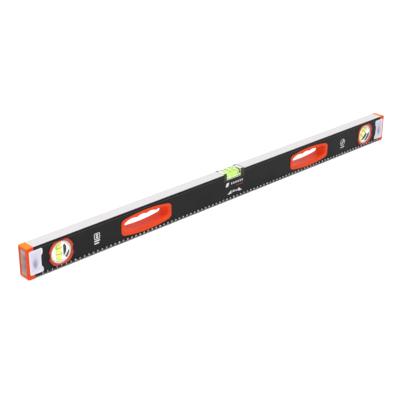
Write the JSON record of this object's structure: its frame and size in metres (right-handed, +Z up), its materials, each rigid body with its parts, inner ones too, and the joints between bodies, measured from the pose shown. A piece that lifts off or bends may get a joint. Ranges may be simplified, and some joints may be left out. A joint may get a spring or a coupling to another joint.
{
  "type": "spirit level",
  "caption": "Box-section spirit level with two hand grips through the beam, soft end pads, a plumb vial, a top-read level vial and a turning angle vial.",
  "frame": {"origin": "under the middle of the level, on the plane of the lower working edge", "axes": "+X along the level towards the turning vial, +Y from the ruled front face to the back face, +Z up"},
  "size_m": [1, 0.029, 0.062],
  "materials": {
    "beam_aluminium": "black powder coat, with both working edges milled bright",
    "cap_plastic": "moulded orange plastic",
    "bumper_rubber": "grey-brown soft rubber",
    "pad_rubber": "pale lavender-grey soft rubber",
    "grip_plastic": "orange moulded grip",
    "bezel_plastic": "orange-red moulded plastic",
    "drum_plastic": "white moulded plastic",
    "cord_rubber": "black rubber cord",
    "lens_clear": "clear moulded window",
    "vial_clear": "clear acrylic vial",
    "block_clear": "clear acrylic block",
    "plug_clear": "clear acrylic plug",
    "seal_dark": "dark sealing pin",
    "vial_liquid": "yellow-green spirit",
    "bubble_air": "air bubble",
    "reading_lines": "black reading lines",
    "holder_plastic": "black moulded plastic",
    "plate_white": "white moulded plastic"
  },
  "bodies": {
    "level": {"beam": "beam_aluminium", "centre_block": "block_clear", "centre_holder": "holder_plastic", "centre_lines": "reading_lines", "centre_liquid": "vial_liquid", "centre_plate_left": "plate_white", "centre_plate_right": "plate_white", "centre_plug": "plug_clear", "centre_reflector": "plate_white", "centre_seal": "seal_dark", "end_bumper_left": "bumper_rubber", "end_bumper_right": "bumper_rubber", "end_cap_left": "cap_plastic", "end_cap_right": "cap_plastic", "friction_cord_back_left": "cord_rubber", "friction_cord_front_left": "cord_rubber", "grip_pad_back_left": "pad_rubber", "grip_pad_back_right": "pad_rubber", "grip_pad_front_left": "pad_rubber", "grip_pad_front_right": "pad_rubber", "handle_back_left": "grip_plastic", "handle_back_right": "grip_plastic", "handle_front_left": "grip_plastic", "handle_front_right": "grip_plastic", "vial_bezel_back_left": "bezel_plastic", "vial_bezel_back_right": "bezel_plastic", "vial_bezel_front_left": "bezel_plastic", "vial_bezel_front_right": "bezel_plastic", "vial_drum_left": "drum_plastic", "vial_lens_back_left": "lens_clear", "vial_lens_front_left": "lens_clear", "vial_lines_left": "reading_lines", "vial_liquid_left": "vial_liquid", "vial_plug_left": "plug_clear", "vial_seal_left": "seal_dark", "vial_tube_left": "vial_clear"},
    "dial": {"vial_drum_right": "drum_plastic", "friction_cord_front_right": "cord_rubber", "friction_cord_back_right": "cord_rubber", "vial_lens_front_right": "lens_clear", "vial_lens_back_right": "lens_clear", "vial_tube_right": "vial_clear", "vial_plug_right": "plug_clear", "vial_seal_right": "seal_dark", "vial_liquid_right": "vial_liquid", "vial_lines_right": "reading_lines"},
    "bubble_left": {"vial_bubble_left": "bubble_air"},
    "bubble_centre": {"centre_bubble": "bubble_air"},
    "bubble_right": {"vial_bubble_right": "bubble_air"}
  },
  "joints": [
    {"name": "dial_turn", "type": "hinge", "parent": "level", "child": "dial", "pos_m": [0.4295, 0, 0.03175], "axis": [0, -1, 0], "continuous": true},
    {"name": "bubble_slide_left", "type": "slide", "parent": "level", "child": "bubble_left", "axis": [0, 0, 1], "range_m": [-0.018, 0], "stiffness_N_per_m": 2, "springref_m": 0.02},
    {"name": "bubble_slide_centre", "type": "slide", "parent": "level", "child": "bubble_centre", "axis": [1, 0, 0], "range_m": [-0.011, 0.011], "stiffness_N_per_m": 1},
    {"name": "bubble_slide_right", "type": "slide", "parent": "dial", "child": "bubble_right", "axis": [0.7071, 0, 0.7071], "range_m": [-0.018, 0], "stiffness_N_per_m": 2, "springref_m": 0.02}
  ]
}
